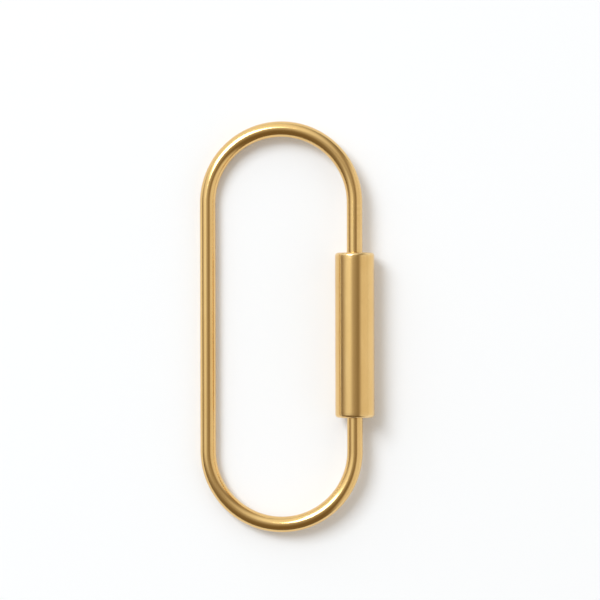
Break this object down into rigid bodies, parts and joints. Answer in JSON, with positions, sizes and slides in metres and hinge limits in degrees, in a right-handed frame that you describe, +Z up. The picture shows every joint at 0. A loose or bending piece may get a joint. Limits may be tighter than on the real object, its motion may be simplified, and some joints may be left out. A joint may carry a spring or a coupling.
{
  "type": "keychain",
  "caption": "Long oval brass wire loop whose ends meet inside a threaded sleeve. The sleeve unscrews and moves up the wire to open the loop.",
  "frame": {"origin": "middle of the footprint, on the surface that the keychain lies on", "axes": "+Y along the loop, towards the end that the sleeve moves to when it opens; +X towards the sleeve's side; +Z up"},
  "size_m": [0.0355, 0.0838, 0.008],
  "materials": {
    "polished_brass": "polished drawn wire",
    "satin_brass": "satin, finely turned",
    "turned_brass": "as turned",
    "steel": "plain",
    "black_rubber": "matt"
  },
  "bodies": {
    "loop": {"wire_loop": "polished_brass", "collar_screw": "steel"},
    "swivel": {"stop_collar": "turned_brass", "friction_ring": "black_rubber"},
    "sleeve": {"barrel_tube": "satin_brass", "guide_bush": "turned_brass", "lock_nut": "turned_brass"}
  },
  "joints": [
    {"name": "sleeve_turn", "type": "hinge", "parent": "loop", "child": "swivel", "pos_m": [0.01375, -0.0017, 0.004], "axis": [0, 1, 0], "range_deg": [0, 7200]},
    {"name": "sleeve_slide", "type": "slide", "parent": "swivel", "child": "sleeve", "axis": [0, 1, 0], "range_m": [0, 0.01]}
  ],
  "couplings": [
    {"joint": "sleeve_slide", "follows": "sleeve_turn", "m_per_rad": 0.000079577}
  ]
}
